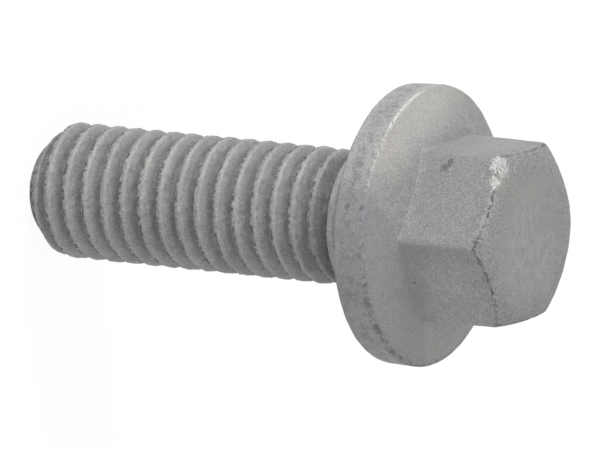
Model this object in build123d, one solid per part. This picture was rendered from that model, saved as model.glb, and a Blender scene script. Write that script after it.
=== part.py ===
from math import radians, sqrt, tan
import os

from build123d import *

# A hexagon flange bolt, forged and thread-rolled as one piece of steel, then hot-dip
# galvanised. Millimetres and degrees. The origin is the centre of the bearing face, on the
# bolt's axis, and +Z runs from the threaded end towards the head. The shank is as thick as
# its thread's ridges, and the grooves between them are left to the rendered surface.

# ---- shank ------------------------------------------------------------------------------
length_under_head = 23.35
shank_diameter = 7.84           # over the zinc on the thread's ridges
tip_diameter = 5.1              # flat end face
tip_chamfer_angle = 45.0        # from the end face
neck_diameter = 7.60            # where the flare starts
neck_length = 1.75              # over which the shank gets that thin
flare_length = 2.95             # underhead transition, down from the bearing face
flare_step = 0.45               # height of its short steep start
flare_diameter = 8.40           # at the top of that start
seat_diameter = 9.20            # where the transition meets the bearing face

# ---- flange -----------------------------------------------------------------------------
flange_diameter = 15.96         # at the bearing face
rim_height = 2.00
rim_draft = -1.5                # below zero, so the rim widens towards the head
rim_edge_radius = 0.22
flange_face_angle = 21.0        # slope of the conical upper face

# ---- head -------------------------------------------------------------------------------
head_height = 8.36              # bearing face to the end of the head
across_flats = 9.94             # where the hexagon stands on the flange
flat_draft = 0.5                # lean of each flat towards the axis
corner_edge_radius = 0.35
end_rim_angle = 28.0            # slope of the chamfer round the head's end
end_rim_fall = 0.66             # from the end face down to the corners
end_blend_radius = 1.2          # between the end face and that chamfer
end_edge_radius = 0.15          # along the scalloped edge of the flats
foot_radius = 0.35              # fillet between the hexagon and the flange

PAST = 1.0                      # how far a cutting shape reaches past what it cuts
EDGE = 0.01                     # too little to see, enough to tell two heights apart

rim_top_radius = flange_diameter / 2 - rim_height * tan(radians(rim_draft))
corner_radius = across_flats / sqrt(3)
hub_radius = across_flats / 4   # well inside the hexagon, where the cone may end


def cone_height(radius):
    """Height of the flange's conical face at this distance from the axis."""
    return rim_height + (rim_top_radius - radius) * tan(radians(flange_face_angle))


def revolved(outline):
    """The solid that a closed outline in the XZ plane sweeps about Z."""
    return revolve(make_face(Plane.XZ * outline), Axis.Z)


def curved_edges(solid, low, high):
    """Edges of a solid that bend and lie wholly between two heights."""
    found = []
    for edge in solid.edges():
        box = edge.bounding_box()
        straight_or_round = edge.geom_type in (GeomType.LINE, GeomType.CIRCLE)
        if low < box.min.Z and box.max.Z < high and not straight_or_round:
            found.append(edge)
    return found


def shank():
    """The rod with its chamfered tip, and a neck that narrows towards the flare."""
    shank_radius, tip_radius = shank_diameter / 2, tip_diameter / 2
    chamfer_height = (shank_radius - tip_radius) * tan(radians(tip_chamfer_angle))
    return revolved(
        Polyline(
            (0, -length_under_head),
            (tip_radius, -length_under_head),
            (shank_radius, -length_under_head + chamfer_height),
            (shank_radius, -flare_length - neck_length),
            (neck_diameter / 2, -flare_length),
            (0, -flare_length),
            close=True,
        )
    )


def flare():
    """The thickening of the shank under the head, where the thread stops."""
    inside_flange = rim_height / 2
    return revolved(
        Polyline(
            (0, -flare_length),
            (neck_diameter / 2, -flare_length),
            (flare_diameter / 2, -flare_length + flare_step),
            (seat_diameter / 2, 0),
            (seat_diameter / 2, inside_flange),
            (0, inside_flange),
            close=True,
        )
    )


def flange():
    """Rim with a little draft and rounded edges, under a conical face."""
    disc = revolved(
        Polyline(
            (0, 0),
            (flange_diameter / 2, 0),
            (rim_top_radius, rim_height),
            (hub_radius, cone_height(hub_radius)),
            (0, cone_height(hub_radius)),
            close=True,
        )
    )
    rim_edges = disc.edges().filter_by(GeomType.CIRCLE).sort_by(Edge.length)[-2:]
    return fillet(rim_edges, rim_edge_radius)


def hexagon():
    """Six drafted flats with rounded corners, under a round end that scallops them."""
    foot_height = cone_height(corner_radius)
    base, top = rim_height / 2, head_height + PAST

    def section(height):
        lean = (height - foot_height) * tan(radians(flat_draft))
        outline = RegularPolygon(across_flats / 2 - lean, 6, major_radius=False, rotation=30)
        return Plane.XY.offset(height) * outline

    prism = loft([section(base), section(top)], ruled=True)
    corners = [e for e in prism.edges() if e.bounding_box().size.Z > (top - base) / 2]
    prism = fillet(corners, corner_edge_radius)

    fall = tan(radians(end_rim_angle))
    flat_radius = corner_radius - end_rim_fall / fall
    reach = corner_radius + PAST
    envelope = revolved(
        Polyline(
            (0, 0),
            (0, head_height),
            (flat_radius, head_height),
            (reach, head_height - end_rim_fall - PAST * fall),
            (reach, 0),
            close=True,
        )
    )
    brow = envelope.edges().filter_by(GeomType.CIRCLE).sort_by(Axis.Z)[-1]
    blank = prism & fillet(brow, end_blend_radius)
    return fillet(curved_edges(blank, foot_height, head_height - EDGE), end_edge_radius)


def head():
    """The hexagon standing on the flange, with a fillet round its foot."""
    joined = flange() + hexagon()
    above_rim = (rim_height + cone_height(corner_radius)) / 2
    return fillet(curved_edges(joined, above_rim, cone_height(hub_radius)), foot_radius)


bolt = head() + flare() + shank()
os.makedirs("parts", exist_ok=True)
export_step(bolt, "parts/flange_bolt.step")
print("flange_bolt: volume", round(bolt.volume, 1), "mm3,", len(bolt.faces()), "faces")
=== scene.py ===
from math import cos, pi, radians, sin, sqrt, tan

import bpy
from mathutils import Matrix, Vector


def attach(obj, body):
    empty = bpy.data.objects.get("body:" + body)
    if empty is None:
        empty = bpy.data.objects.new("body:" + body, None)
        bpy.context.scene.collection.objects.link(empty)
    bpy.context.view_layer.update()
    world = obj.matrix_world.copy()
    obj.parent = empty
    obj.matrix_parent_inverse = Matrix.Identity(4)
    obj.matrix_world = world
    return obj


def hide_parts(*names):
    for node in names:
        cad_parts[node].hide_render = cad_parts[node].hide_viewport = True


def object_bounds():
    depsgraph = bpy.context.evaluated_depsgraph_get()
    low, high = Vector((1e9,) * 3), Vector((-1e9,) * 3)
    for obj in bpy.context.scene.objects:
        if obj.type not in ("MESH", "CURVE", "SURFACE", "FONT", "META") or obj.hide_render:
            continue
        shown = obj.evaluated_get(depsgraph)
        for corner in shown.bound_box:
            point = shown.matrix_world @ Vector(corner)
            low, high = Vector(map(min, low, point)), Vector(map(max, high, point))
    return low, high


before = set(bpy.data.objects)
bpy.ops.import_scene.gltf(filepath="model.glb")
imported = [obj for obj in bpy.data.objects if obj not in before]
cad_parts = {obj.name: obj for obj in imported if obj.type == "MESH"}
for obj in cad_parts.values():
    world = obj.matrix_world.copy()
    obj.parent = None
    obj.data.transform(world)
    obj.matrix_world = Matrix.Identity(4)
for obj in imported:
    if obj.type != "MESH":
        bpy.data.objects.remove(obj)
cad_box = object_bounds()

# A hexagon flange bolt stands on its threaded end. It is one piece of forged and rolled
# steel under a dull coat of hot-dip zinc. Sizes of the bolt are in millimetres and follow
# part.py, the outer ones a hair smaller to leave room for the zinc's lumps. The thread is
# only here, and the edges have roundings of their own. The bolt's tree ends in metres.
MM = 0.001

thread_pitch = 1.25
thread_depth = 0.66
ridge_width = 0.26
ridge_azimuth = 171.5       # degrees, where the ridge lies at the height below
ridge_height = -5.42

length_under_head = 23.32
shank_diameter = 7.84
tip_diameter = 5.1
neck_diameter = 7.60
neck_length = 1.75
flare_length = 2.95
flare_step = 0.45
flare_diameter = 8.40
flare_run_in = 0.3          # how far below the flare its surface starts to rise
flare_blend = 0.12
chamfer_blend = 0.14
seat_diameter = 9.20

flange_diameter = 15.95
rim_height = 2.00
rim_draft = -1.5
rim_edge_radius = 0.24
back_edge_radius = 0.30
flange_face_angle = 21.0

head_height = 8.35
across_flats = 9.92
flat_draft = 0.5
flats_foot = 3.0            # height from which the flats' draft is counted
corner_edge_radius = 0.45
end_rim_angle = 28.0
end_rim_fall = 0.66
end_blend_width = 0.45
end_edge_radius = 0.30
foot_radius = 0.14

lump_height = 0.07          # of the zinc everywhere
crumb_height = 0.16         # of the coarser zinc on the thread
weld_distance = 0.0005

COLUMNS = 216               # a multiple of six, so that each corner has a column
ROWS_PER_PITCH = 16
ROWS_PER_STRETCH = 9
CROWDING = 0.6              # how much closer the columns stand near the hexagon's corners
ABOVE_ZERO = 100            # whole number added so that no fraction is taken of a negative


class Wired:
    """A socket of a node tree, on which arithmetic adds Math nodes."""

    def __init__(self, tree, socket):
        self.tree = tree
        self.socket = socket

    def node(self, kind, settings=(), **inputs):
        """Adds one node: its settings first, then the values or links of its sockets."""
        made = self.tree.nodes.new(kind)
        for name, value in dict(settings).items():
            setattr(made, name, value)
        for name, value in inputs.items():
            key = int(name[1:]) if name[0] == "i" and name[1:].isdigit() else name
            socket = made.inputs[key]
            if isinstance(value, Wired):
                self.tree.links.new(value.socket, socket)
            else:
                socket.default_value = value
        return made

    def out(self, kind, settings=(), output=0, **inputs):
        """The same, for one output of the new node."""
        made = self.node(kind, settings, **inputs)
        return Wired(self.tree, made.outputs[output])

    def math_of(self, operation, *values, clamp=False):
        """A Math node on these values, in this order."""
        settings = {"operation": operation, "use_clamp": clamp}
        inputs = {f"i{number}": value for number, value in enumerate(values)}
        return self.out("ShaderNodeMath", settings, **inputs)

    def math(self, operation, *others):
        """A Math node on this socket, followed by any other values."""
        return self.math_of(operation, self, *others)

    def __add__(self, other):
        return self.math("ADD", other)

    def __radd__(self, other):
        return self.math_of("ADD", other, self)

    def __sub__(self, other):
        return self.math("SUBTRACT", other)

    def __rsub__(self, other):
        return self.math_of("SUBTRACT", other, self)

    def __mul__(self, other):
        return self.math("MULTIPLY", other)

    def __rmul__(self, other):
        return self.math_of("MULTIPLY", other, self)

    def __truediv__(self, other):
        return self.math("DIVIDE", other)

    def __rtruediv__(self, other):
        return self.math_of("DIVIDE", other, self)

    def clamped(self):
        """The value held between 0 and 1."""
        return self.math_of("ADD", self, 0.0, clamp=True)

    def step(self, low, high):
        """0 below one value, 1 above the other, and smooth between."""
        return self.out(
            "ShaderNodeMapRange",
            {"interpolation_type": "SMOOTHSTEP"},
            **{"Value": self, "From Min": low, "From Max": high, "To Min": 0.0, "To Max": 1.0},
        )


# ---- zinc -------------------------------------------------------------------------------
# Hot-dip zinc that has gone dull: a grainy mid-grey with faint blue and warm clouds. Dross and
# dirt sit in the thread's grooves, and pits follow the rim and the head's worn edge. Painted
# shade darkens the grooves, neck, flare and head's foot, and painted light brightens the lamp's side.
zinc = bpy.data.materials.new("zinc")
zinc.use_nodes = True
zinc.node_tree.nodes.clear()
coat = Wired(zinc.node_tree, None)

place = coat.out("ShaderNodeVectorMath", {"operation": "SCALE"}, Scale=1 / MM,
                 i0=coat.out("ShaderNodeTexCoord", output="Object"))
up = coat.out("ShaderNodeSeparateXYZ", output=2, i0=place)


def noise(scale, detail=2.0, roughness=0.5, distortion=0.0):
    """Noise over the bolt, with about this many lumps to the millimetre."""
    return coat.out("ShaderNodeTexNoise", Vector=place, Scale=scale, Detail=detail,
                    Roughness=roughness, Distortion=distortion)


def blend(share, under, over):
    """One colour over another."""
    return coat.out("ShaderNodeMix", {"data_type": "RGBA"}, output=2, i0=share, i6=under, i7=over)


def spot(centre, size, ragged=0.5):
    """A ragged patch round one point of the surface, in millimetres."""
    away = coat.out("ShaderNodeVectorMath", {"operation": "DISTANCE"}, output="Value",
                    i0=place, i1=centre)
    return 1.0 - (away / size + (speck - 0.5) * (ragged * 8.0)).step(0.6, 1.1)


def out_along(direction):
    """How far a point lies from the axis in one direction, in millimetres."""
    return coat.out("ShaderNodeVectorMath", {"operation": "DOT_PRODUCT"}, output="Value",
                    i0=place, i1=direction)


def between(rise, fade):
    """1 between two heights, each given as the stretch over which it comes or goes."""
    return up.step(*rise) * (1.0 - up.step(*fade))


def stored(name):
    """A value that the bolt's own mesh carries."""
    return coat.out("ShaderNodeAttribute", {"attribute_name": name}, output="Fac")


tint = noise(0.22, 2.0, distortion=0.6)
mottle = noise(1.7, 4.0, 0.62)
grain = noise(9.0, 2.0, 0.7)
fine = noise(21.0, 1.0)
speck = noise(4.2, 3.0, 0.65, 0.4)
root, shoulder = stored("root"), stored("shoulder")
rim_edge, rim_side, back_edge = stored("rim_edge"), stored("rim_side"), stored("back_edge")
foot_line, brow_edge = stored("foot"), stored("brow_edge")

light_grey = (0.40, 0.395, 0.39, 1.0)
mid_grey = (0.31, 0.305, 0.305, 1.0)
warm_grey = (0.39, 0.37, 0.345, 1.0)
blue_grey = (0.285, 0.285, 0.31, 1.0)
slate_grey = (0.25, 0.245, 0.265, 1.0)
painted_light_grey = (0.62, 0.60, 0.57, 1.0)
flats_shade_grey = (0.265, 0.26, 0.255, 1.0)
neck_shade_grey = (0.14, 0.135, 0.14, 1.0)
light_crystal = (0.46, 0.455, 0.45, 1.0)
dark_crystal = (0.235, 0.235, 0.25, 1.0)
# bare zinc for the fine sparkle, also used for painted highlights
bare_zinc_and_highlight_grey = (0.80, 0.79, 0.77, 1.0)
# black for real dirt, pits and cracks, also used for painted shade and a painted shadow
dirt_and_shade = (0.055, 0.05, 0.05, 1.0)

# clouds everywhere, and darker ones on the side of the rim
body = blend(mottle.step(0.34, 0.66), mid_grey, light_grey)
body = blend(tint.step(0.50, 0.68) * 0.6, body, warm_grey)
body = blend((1.0 - tint).step(0.52, 0.68) * 0.6, body, blue_grey)
body = blend(rim_side * mottle.step(0.44, 0.56) * 0.6, body, slate_grey)

# painted light makes the flange paler on the lamp's side, painted shade dulls the flats on that
# side, and painted shade darkens the neck and the flare under the flange
side = out_along((-0.93, -0.36, 0.0))
# painted light: the flange's face and rim are paler towards the lamp
painted_light_on_flange = side.step(4.4, 7.0) * (1.0 - up.step(2.8, 3.6)) * (1.0 - rim_side * 0.75)
body = blend(painted_light_on_flange * 0.75, body, painted_light_grey)
# painted shade: the flats on the lamp's side are held darker
painted_shade_on_flats = between((3.1, 4.0), (7.7, 8.1)) * side.step(-0.5, 2.0)
body = blend(painted_shade_on_flats * 0.75, body, flats_shade_grey)
# painted shade under the flange, on the neck and the flare
neck_shade = between((-4.1, -3.7), (-2.85, -2.65))
flare_shade = between((-2.25, -2.1), (-0.2, 0.1))
body = blend((neck_shade + flare_shade) * 0.6, body, neck_shade_grey)
# a painted shadow along the rim's back edge, where it meets the flare
painted_shadow_behind_rim = back_edge.step(0.35, 0.9) * (0.25 + mottle.step(0.44, 0.56) * 0.4)
body = blend(painted_shadow_behind_rim, body, dirt_and_shade)

# the crystals' grain lies over all of these
body = blend(grain.step(0.48, 0.68) * 0.55, body, light_crystal)
body = blend((1.0 - grain).step(0.48, 0.68) * 0.6, body, dark_crystal)
body = blend(fine.step(0.52, 0.66) * 0.22, body, bare_zinc_and_highlight_grey)
body = blend((1.0 - fine).step(0.52, 0.66) * 0.25, body, dirt_and_shade)

# dirt and painted shade in the grooves, the shade deeper on the lamp's side, painted shade at the
# head's foot, and ragged along the tip side of each ridge
broken = mottle.step(0.42, 0.56)
groove_dirt_and_shade = root.step(0.50, 1.0) * (0.12 + side.step(-2.0, 2.5) * 0.4 + broken * 0.25)
hollow_dirt_and_shade = groove_dirt_and_shade + foot_line.step(0.2, 0.9) * 0.22
ragged = shoulder.step(0.10, 0.65) * speck.step(0.43, 0.52) * (0.35 + broken * 0.65)

# pits along the rim, but few within a painted highlight on its edge on the lamp's side, and cracks
# along the worn brow
rim_highlight = spot((-7.2, -3.1, 2.1), 2.4, 0.1)
pitted = rim_edge.step(0.35, 0.75) * speck.step(0.42, 0.52) * (0.5 + broken * 0.5)
rim_pits = pitted * (1.0 - rim_highlight * 0.9) * (1.0 - side.step(1.5, 5.0) * 0.7)
vein = 1.0 - ((speck - 0.5).math("ABSOLUTE") / 0.05).clamped()
cracks = brow_edge.step(0.0, 0.6) * vein * broken
cracks = cracks + brow_edge.step(0.70, 1.0) * speck.step(0.42, 0.50) * (0.6 + broken * 0.4)
cracks = cracks + rim_side * (vein * broken + speck.step(0.54, 0.60) * broken) * 0.75
# the pits and cracks together with the painted shade of the grooves and the foot
dark_dirt_and_shade = (hollow_dirt_and_shade + ragged + rim_pits * 0.8 + cracks * 0.7).clamped()
# the painted highlight along the rim's edge on the lamp's side
body = blend(rim_edge.step(0.7, 1.0) * rim_highlight * grain.step(0.40, 0.56) * 0.6, body, bare_zinc_and_highlight_grey)
body = blend(dark_dirt_and_shade * 0.85, body, dirt_and_shade)

# a painted highlight on one corner of the head, a gouge below it, two nicks in the rim and one pit
corner_highlight = (spot((-4.35, -2.85, 8.0), 0.68, 0.15) + spot((-3.6, -3.55, 8.0), 0.4, 0.2)).clamped()
body = blend(corner_highlight * grain.step(0.30, 0.58) * 0.62, body, bare_zinc_and_highlight_grey)
gouge = spot((-4.1, -3.35, 4.65), 0.28, 0.3) + spot((-4.4, -3.2, 4.9), 0.22, 0.3)
nicks = spot((-2.18, -7.7, 0.86), 0.20, 0.3) + spot((-2.16, -7.7, 1.8), 0.20, 0.3)
pit = spot((2.48, -4.3, 3.26), 0.12, 0.2)
body = blend((gouge * 0.5 + nicks * 0.7 + pit * 0.8).clamped(), body, dirt_and_shade)

# a faint blue stain at the foot of one flat
stained_flat = out_along((0.5, -sqrt(0.75), 0.0)).step(4.7, 4.85)
body = blend(stained_flat * (1.0 - up.step(3.0, 4.6)) * 0.35, body, blue_grey)

relief = grain * 0.4 + mottle * 0.6 - dark_dirt_and_shade * 0.5
surface = coat.out(
    "ShaderNodeBsdfPrincipled",
    IOR=1.5,
    Metallic=0.3 - dark_dirt_and_shade * 0.25,
    Roughness=0.62 + dark_dirt_and_shade * 0.25 + (mottle - 0.5) * 0.12,
    Normal=coat.out("ShaderNodeBump", Strength=0.5, Distance=0.06 * MM, Height=relief),
    **{"Base Color": body},
)
coat.node("ShaderNodeOutputMaterial", Surface=surface)


# ---- flange_bolt ------------------------------------------------------------------------
# The whole bolt is one closed skin, as the real one is one forging. Three grids are bent
# round the axis and welded: the tip, the thread with its rows along the helix, and the
# flare, flange and hexagonal head, whose columns crowd towards the six corners.
skin = bpy.data.node_groups.new("flange_bolt_skin", "GeometryNodeTree")
skin.interface.new_socket("Geometry", in_out="OUTPUT", socket_type="NodeSocketGeometry")
sizes = {
    "pitch": thread_pitch,
    "depth": thread_depth,
    "ridge_half": ridge_width / 2,
    "shank_radius": shank_diameter / 2,
    "neck_radius": neck_diameter / 2,
    "tip_radius": tip_diameter / 2,
    "tip_height": -length_under_head,
    "flare_radius": flare_diameter / 2,
    "seat_radius": seat_diameter / 2,
    "rim_radius": flange_diameter / 2,
    "rim_height": rim_height,
    "inradius": across_flats / 2,
    "head_height": head_height,
}
sockets = {
    name: skin.interface.new_socket(name, in_out="INPUT", socket_type="NodeSocketFloat")
    for name in sizes
}
geo = Wired(skin, None)
given = geo.node("NodeGroupInput")
size = {name: Wired(skin, given.outputs[name]) for name in sizes}

start = radians(30)         # the first column runs up a corner of the hexagon
flare_top = -flare_length + flare_step
tip_ring = 0.14             # height above the end face where the tip's grid meets the thread's
thread_low = size["tip_height"] + tip_ring
pitches = (flare_top + length_under_head - tip_ring) / thread_pitch + 1


def grid(rows):
    """A flat grid, with its share of one turn and its row, the turn being crowded."""
    mesh = geo.node("GeometryNodeMeshGrid", **{"Size X": 1.0, "Size Y": 1.0,
                    "Vertices X": COLUMNS + 1, "Vertices Y": rows + 1})
    spread = geo.node("ShaderNodeSeparateXYZ", i0=geo.out("GeometryNodeInputPosition"))
    turn = (Wired(skin, spread.outputs[0]) + 0.5) * (2 * pi)
    crowded = turn - (turn * 6.0).math("SINE") * (CROWDING / 6)
    return Wired(skin, mesh.outputs[0]), crowded, (Wired(skin, spread.outputs[1]) + 0.5) * rows


def bent(mesh, turn, radius, height, marks):
    """The grid laid round the axis, with named values stored on its points."""
    azimuth = turn + start
    point = geo.out("ShaderNodeCombineXYZ", i0=radius * azimuth.math("COSINE"),
                    i1=radius * azimuth.math("SINE"), i2=height)
    for name, value in marks.items():
        mesh = geo.out("GeometryNodeStoreNamedAttribute", {"data_type": "FLOAT"},
                       Geometry=mesh, Name=name, Value=value)
    return geo.out("GeometryNodeSetPosition", Geometry=mesh, Position=point)


def walk(row, stretches):
    """A path made of lines and bends, each one stretch of rows long."""
    radius, height = stretches[0][0]
    for before, (begin, *middle, end) in enumerate(stretches):
        share = (row / ROWS_PER_STRETCH - before).clamped()
        far = share
        if middle:
            pull = share * (1.0 - share) * 2.0
            far = share * share
            radius = radius + pull * (middle[0][0] - begin[0])
            height = height + pull * (middle[0][1] - begin[1])
        radius = radius + far * (end[0] - begin[0])
        height = height + far * (end[1] - begin[1])
    return radius, height


# the tip: a flat end face with a rounded edge, up to the chamfer that starts the thread
mesh, turn, row = grid(3 * ROWS_PER_STRETCH)
tip, tip_end = size["tip_radius"], size["tip_height"]
halfway = (tip + tip_ring / 2, tip_end + tip_ring / 2)
radius, height = walk(row, [
    ((0.0, tip_end), (tip - tip_ring, tip_end)),
    ((tip - tip_ring, tip_end), (tip, tip_end), halfway),
    (halfway, (tip + tip_ring, thread_low)),
])
tip_skin = bent(mesh, turn, radius, height, {})

# the thread: rows follow the helix, and those past either end lie on its last ring
thread_rows = int(pitches * ROWS_PER_PITCH) + 2
mesh, turn, row = grid(thread_rows)
climb = thread_low + size["pitch"] * (row / ROWS_PER_PITCH + turn / (2 * pi) - 1.0)
height = climb.math("MAXIMUM", thread_low).math("MINIMUM", flare_top)
turned_past = (turn + (start - radians(ridge_azimuth))) / (2 * pi)
along = (height - ridge_height) / size["pitch"] - turned_past
phase = (along + (ABOVE_ZERO + 0.5)).math("FRACT") - 0.5
off_ridge = phase.math("ABSOLUTE") * size["pitch"]
fallen = off_ridge.step(size["ridge_half"], size["pitch"] / 2)
low_neck = ((height + flare_length + neck_length) / neck_length).clamped()
over_ridges = size["shank_radius"] + low_neck * (size["neck_radius"] - size["shank_radius"])
radius = over_ridges - size["depth"] * fallen
chamfer = tip + (height - tip_end)
radius = radius.math("SMOOTH_MIN", chamfer, chamfer_blend)
risen = height.step(-flare_length - flare_run_in, flare_top)
flare = tip + (size["flare_radius"] - tip) * risen
radius = radius.math("SMOOTH_MAX", flare, flare_blend)
below_flare = 1.0 - height.step(-flare_length, flare_top)
first_turn = (height - tip_end).step(0.3, 1.6)
tip_side = 1.0 - ((phase + 0.10).math("ABSOLUTE") / 0.13).clamped()
thread_skin = bent(mesh, turn, radius, height, {
    "root": fallen * below_flare,
    "shoulder": (tip_side * below_flare).math("MAXIMUM", 0.6 - first_turn * 0.6),
    "rough": below_flare,
})

# the flare, the flange and the head, from the last ring of the thread to the end face
mesh, turn, row = grid(10 * ROWS_PER_STRETCH)
sixth = (turn / radians(60) + (ABOVE_ZERO + 0.5)).math("FRACT") - 0.5
from_corner = sixth.math("ABSOLUTE") * radians(60)
near, far = radians(30) - from_corner, radians(30) + from_corner
this_flat = size["inradius"] / near.math("COSINE")
next_flat = size["inradius"] / far.math("COSINE")
hexagon = this_flat.math("SMOOTH_MIN", next_flat, corner_edge_radius * 0.93)
slope = tan(radians(flange_face_angle))
fall = tan(radians(end_rim_angle))
rim_top = flange_diameter / 2 - rim_height * tan(radians(rim_draft))
flat_radius = across_flats / sqrt(3) - end_rim_fall / fall


def cone(radius):
    """Height of the flange's conical face."""
    return size["rim_height"] + (rim_top - radius) * slope


def crown(radius):
    """Height of the head's end: a flat face that rounds off into a shallow chamfer."""
    past = radius - flat_radius
    eased = (past + end_blend_width).math("MAXIMUM", 0.0).math("MINIMUM", 2 * end_blend_width)
    beyond = (past - end_blend_width).math("MAXIMUM", 0.0)
    return size["head_height"] - (eased * eased / (4 * end_blend_width) + beyond) * fall


rim, bend, back = size["rim_radius"], rim_edge_radius, back_edge_radius
foot = hexagon + foot_radius
drafted = (head_height - flats_foot) * tan(radians(flat_draft))
brow = hexagon * (1 - drafted / (across_flats / 2))
brow_in = brow - end_edge_radius
lip = (rim_top - bend * cos(radians(flange_face_angle)),
       size["rim_height"] + bend * sin(radians(flange_face_angle)))
radius, height = walk(row, [
    ((size["flare_radius"], flare_top), (size["seat_radius"], 0.0)),
    ((size["seat_radius"], 0.0), (rim - back, 0.0)),
    ((rim - back, 0.0), (rim, 0.0), (rim, back)),
    ((rim, back), (rim_top, size["rim_height"] - bend)),
    ((rim_top, size["rim_height"] - bend), (rim_top, size["rim_height"]), lip),
    (lip, (foot, cone(foot))),
    ((foot, cone(foot)), (hexagon, cone(hexagon)), (hexagon, cone(hexagon) + foot_radius)),
    ((hexagon, cone(hexagon) + foot_radius), (brow, crown(brow) - end_edge_radius)),
    ((brow, crown(brow) - end_edge_radius), (brow, crown(brow)), (brow_in, crown(brow_in))),
    ((brow_in, crown(brow_in)), (0.0, crown(brow_in))),
])
inward = brow_in * (1.0 - (row / ROWS_PER_STRETCH - 9.0).clamped())
height = height + crown(inward) - crown(brow_in)

# marks for the zinc and for its painted shade: the middle of each on the path's ten stretches, and how
# far it reaches
marked = {
    "back_edge": (2.4, 0.9),
    "rim_edge": (4.5, 1.0),
    "rim_side": (3.5, 1.2),
    "foot": (6.5, 0.9),
    "brow_edge": (8.6, 1.0),
}
marks = {
    name: (1.0 - (row / ROWS_PER_STRETCH - middle).math("ABSOLUTE") / width).clamped()
    for name, (middle, width) in marked.items()
}
head_skin = bent(mesh, turn, radius, height, marks)

# welded into one closed skin, then given the zinc's lumps
whole = geo.node("GeometryNodeJoinGeometry")
for part in (head_skin, thread_skin, tip_skin):
    skin.links.new(part.socket, whole.inputs[0])
welded = geo.out("GeometryNodeMergeByDistance", Geometry=Wired(skin, whole.outputs[0]),
                 Distance=weld_distance)
here = geo.out("GeometryNodeInputPosition")
lumps = geo.out("ShaderNodeTexNoise", Vector=here, Scale=1.1, Detail=3.0) - 0.75
rough = geo.out("GeometryNodeInputNamedAttribute", {"data_type": "FLOAT"}, Name="rough")
crumbs = geo.out("ShaderNodeTexNoise", Vector=here, Scale=2.6, Detail=2.0) - 0.7
swell = geo.out("ShaderNodeVectorMath", {"operation": "SCALE"},
                Scale=lumps * lump_height + crumbs * rough * crumb_height,
                i0=geo.out("GeometryNodeInputNormal"))
lumpy = geo.out("GeometryNodeSetPosition", Geometry=welded, Offset=swell)
smooth = geo.out("GeometryNodeSetShadeSmooth", Geometry=lumpy)
metres = geo.out("GeometryNodeTransform", Geometry=smooth, Scale=(MM, MM, MM))
real = geo.out("GeometryNodeRealizeInstances", Geometry=metres)
coated = geo.out("GeometryNodeSetMaterial", Geometry=real, Material=zinc)
geo.node("NodeGroupOutput", Geometry=coated)

blank = bpy.data.objects.new("flange_bolt_blank", bpy.data.meshes.new("flange_bolt_blank"))
bpy.context.scene.collection.objects.link(blank)
builder = blank.modifiers.new("skin", "NODES")
builder.node_group = skin
for name, value in sizes.items():
    builder[sockets[name].identifier] = value
built = blank.evaluated_get(bpy.context.evaluated_depsgraph_get())
bolt = bpy.data.objects.new("flange_bolt_zinc", bpy.data.meshes.new_from_object(built))
bpy.context.scene.collection.objects.link(bolt)
blank.modifiers.remove(builder)
bpy.data.objects.remove(blank)
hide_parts("flange_bolt")
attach(bolt, "root")


# ---- floor ------------------------------------------------------------------------------
# A white bench top under the threaded end. It looks white to the camera and in the metal,
# and keeps a soft shadow of the bolt.
paper = bpy.data.materials.new("white_floor")
paper.use_nodes = True
paper.node_tree.nodes.clear()
top = Wired(paper.node_tree, None)


def seen(owner):
    """1 for the camera's rays, straight or by way of metal or glass, and 0 for the rest."""
    rays = owner.node("ShaderNodeLightPath").outputs
    by_metal = Wired(owner.tree, rays["Is Glossy Ray"])
    by_glass = Wired(owner.tree, rays["Is Transmission Ray"])
    return Wired(owner.tree, rays["Is Camera Ray"]).math("MAXIMUM", by_metal).math("MAXIMUM", by_glass)


lit = top.out("ShaderNodeBsdfDiffuse", Color=(0.86, 0.86, 0.86, 1.0))
white = top.out("ShaderNodeEmission", Color=(1.0, 1.0, 1.0, 1.0), Strength=1.06)
mixed = top.out("ShaderNodeMixShader", i0=seen(top) * 0.88, i1=lit, i2=white)
top.node("ShaderNodeOutputMaterial", Surface=mixed)

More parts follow.
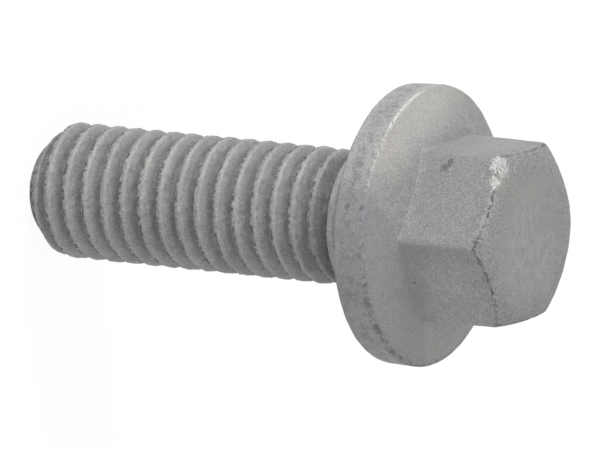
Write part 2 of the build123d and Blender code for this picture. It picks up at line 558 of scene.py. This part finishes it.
reach, level = 3.0, cad_box[0].z
floor_mesh = bpy.data.meshes.new("floor")
floor_mesh.from_pydata(
    [(-reach, -reach, level), (reach, -reach, level), (reach, reach, level), (-reach, reach, level)],
    [],
    [(0, 1, 2, 3)],
)
floor_mesh.materials.append(paper)
floor = bpy.data.objects.new("floor", floor_mesh)
bpy.context.scene.collection.objects.link(floor)


# ---- light ------------------------------------------------------------------------------
# A white room: even light from all round, a lamp low on the bolt's left that models it, and
# a broad faint one in front and above that lifts the near side.
room = bpy.data.worlds.new("white_room")
bpy.context.scene.world = room
room.use_nodes = True
room.node_tree.nodes.clear()
air = Wired(room.node_tree, None)
glow = air.out("ShaderNodeBackground", Color=(1.0, 1.0, 1.0, 1.0), Strength=0.42 + seen(air) * 0.58)
air.node("ShaderNodeOutputWorld", Surface=glow)


def sun(name, towards, strength, spread):
    """A lamp far away, in the direction that is given, as wide as spread degrees."""
    lamp = bpy.data.lights.new(name, "SUN")
    lamp.energy = strength
    lamp.angle = radians(spread)
    shining = bpy.data.objects.new(name, lamp)
    shining.rotation_euler = Vector(towards).to_track_quat("Z", "Y").to_euler()
    bpy.context.scene.collection.objects.link(shining)


sun("key", (-0.95, -0.20, 0.30), 2.0, 24)
sun("front", (0.1, -0.80, 0.60), 0.6, 60)


# ---- camera -----------------------------------------------------------------------------
# A long lens some way off, in front of the bolt and above it. It is turned on its side, so
# that the standing bolt lies across the frame with its head on the right.
aim = Vector((0.00012, -0.00298, -0.00499))
distance = 0.6586
azimuth, elevation, roll = 11.435, 30.12, 95.83
lens = bpy.data.cameras.new("camera")
lens.sensor_width = 36.0
lens.lens = 699.0
lens.clip_start, lens.clip_end = 0.01, 20.0
camera = bpy.data.objects.new("camera", lens)
bpy.context.scene.collection.objects.link(camera)
bpy.context.scene.camera = camera
turned = (
    Matrix.Rotation(radians(-azimuth), 4, "Z")
    @ Matrix.Rotation(radians(90 - elevation), 4, "X")
    @ Matrix.Rotation(radians(roll), 4, "Z")
)
camera.matrix_world = Matrix.Translation(aim) @ turned @ Matrix.Translation((0, 0, distance))
bpy.context.scene.view_settings.view_transform = "Standard"
